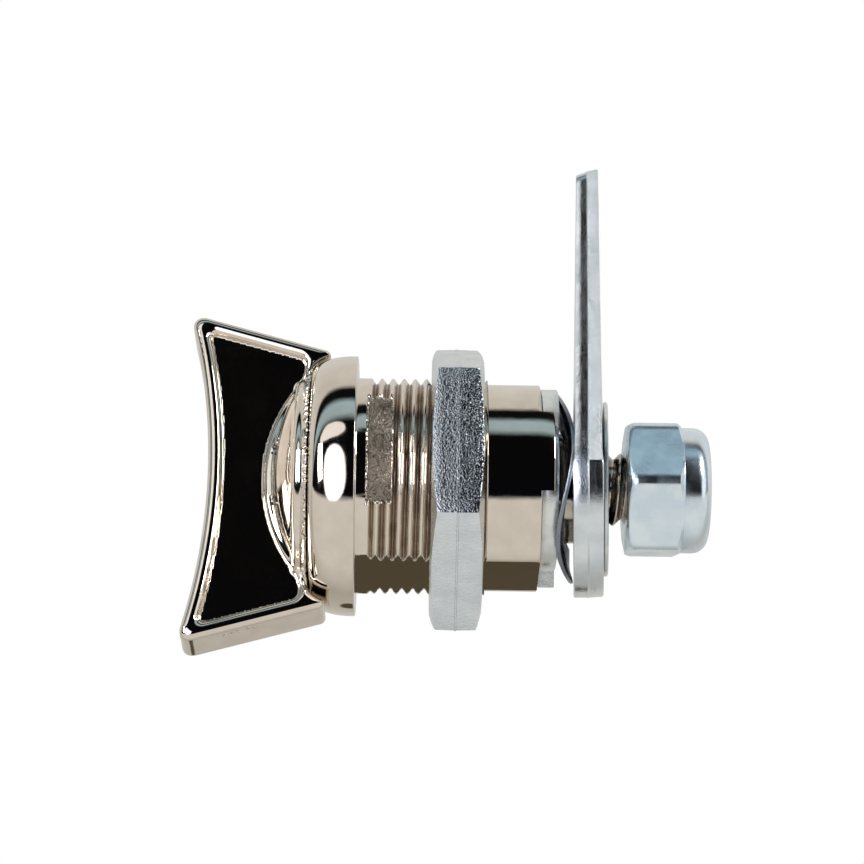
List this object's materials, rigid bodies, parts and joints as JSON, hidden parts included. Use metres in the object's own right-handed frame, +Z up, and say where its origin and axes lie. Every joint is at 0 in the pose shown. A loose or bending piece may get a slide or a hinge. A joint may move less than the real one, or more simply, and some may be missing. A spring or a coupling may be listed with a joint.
{
  "type": "wing knob cam latch",
  "caption": "Quarter-turn cam latch with a hand-turned wing knob, a threaded round housing with two flats, a hex panel nut and a flat cam held by a lock nut.",
  "frame": {"origin": "centre of the flange's rear face, on the latch axis, where the outside of the door panel lies", "axes": "+X along the latch axis, from the knob to the cam; +Z up along the cam at rest; -Y towards the side with the cast patch on the thread"},
  "size_m": [0.0456, 0.0234, 0.0425],
  "materials": {
    "nickel_plated_zinc": "bright nickel plate on a zinc die casting",
    "nickel_plated_steel": "nickel plate, rolled thread",
    "zinc_plated_steel": "bright zinc plate with a blue passivate",
    "spring_steel": "dark hardened steel",
    "nylon": "natural nylon"
  },
  "bodies": {
    "housing": {"housing": "nickel_plated_zinc"},
    "turning_parts": {"wing_knob": "nickel_plated_zinc", "drive_spindle": "nickel_plated_steel", "stop_washer": "zinc_plated_steel", "wave_washer": "spring_steel", "cam": "zinc_plated_steel", "thin_washer": "zinc_plated_steel", "lock_nut": "zinc_plated_steel", "lock_nut_insert": "nylon"},
    "panel_nut": {"mounting_nut": "zinc_plated_steel"}
  },
  "joints": [
    {"name": "quarter_turn", "type": "hinge", "parent": "housing", "child": "turning_parts", "pos_m": [0, 0, 0], "axis": [-1, 0, 0], "range_deg": [0, 90]},
    {"name": "panel_nut_travel", "type": "slide", "parent": "housing", "child": "panel_nut", "axis": [1, 0, 0], "range_m": [-0.006, 0.003]}
  ]
}
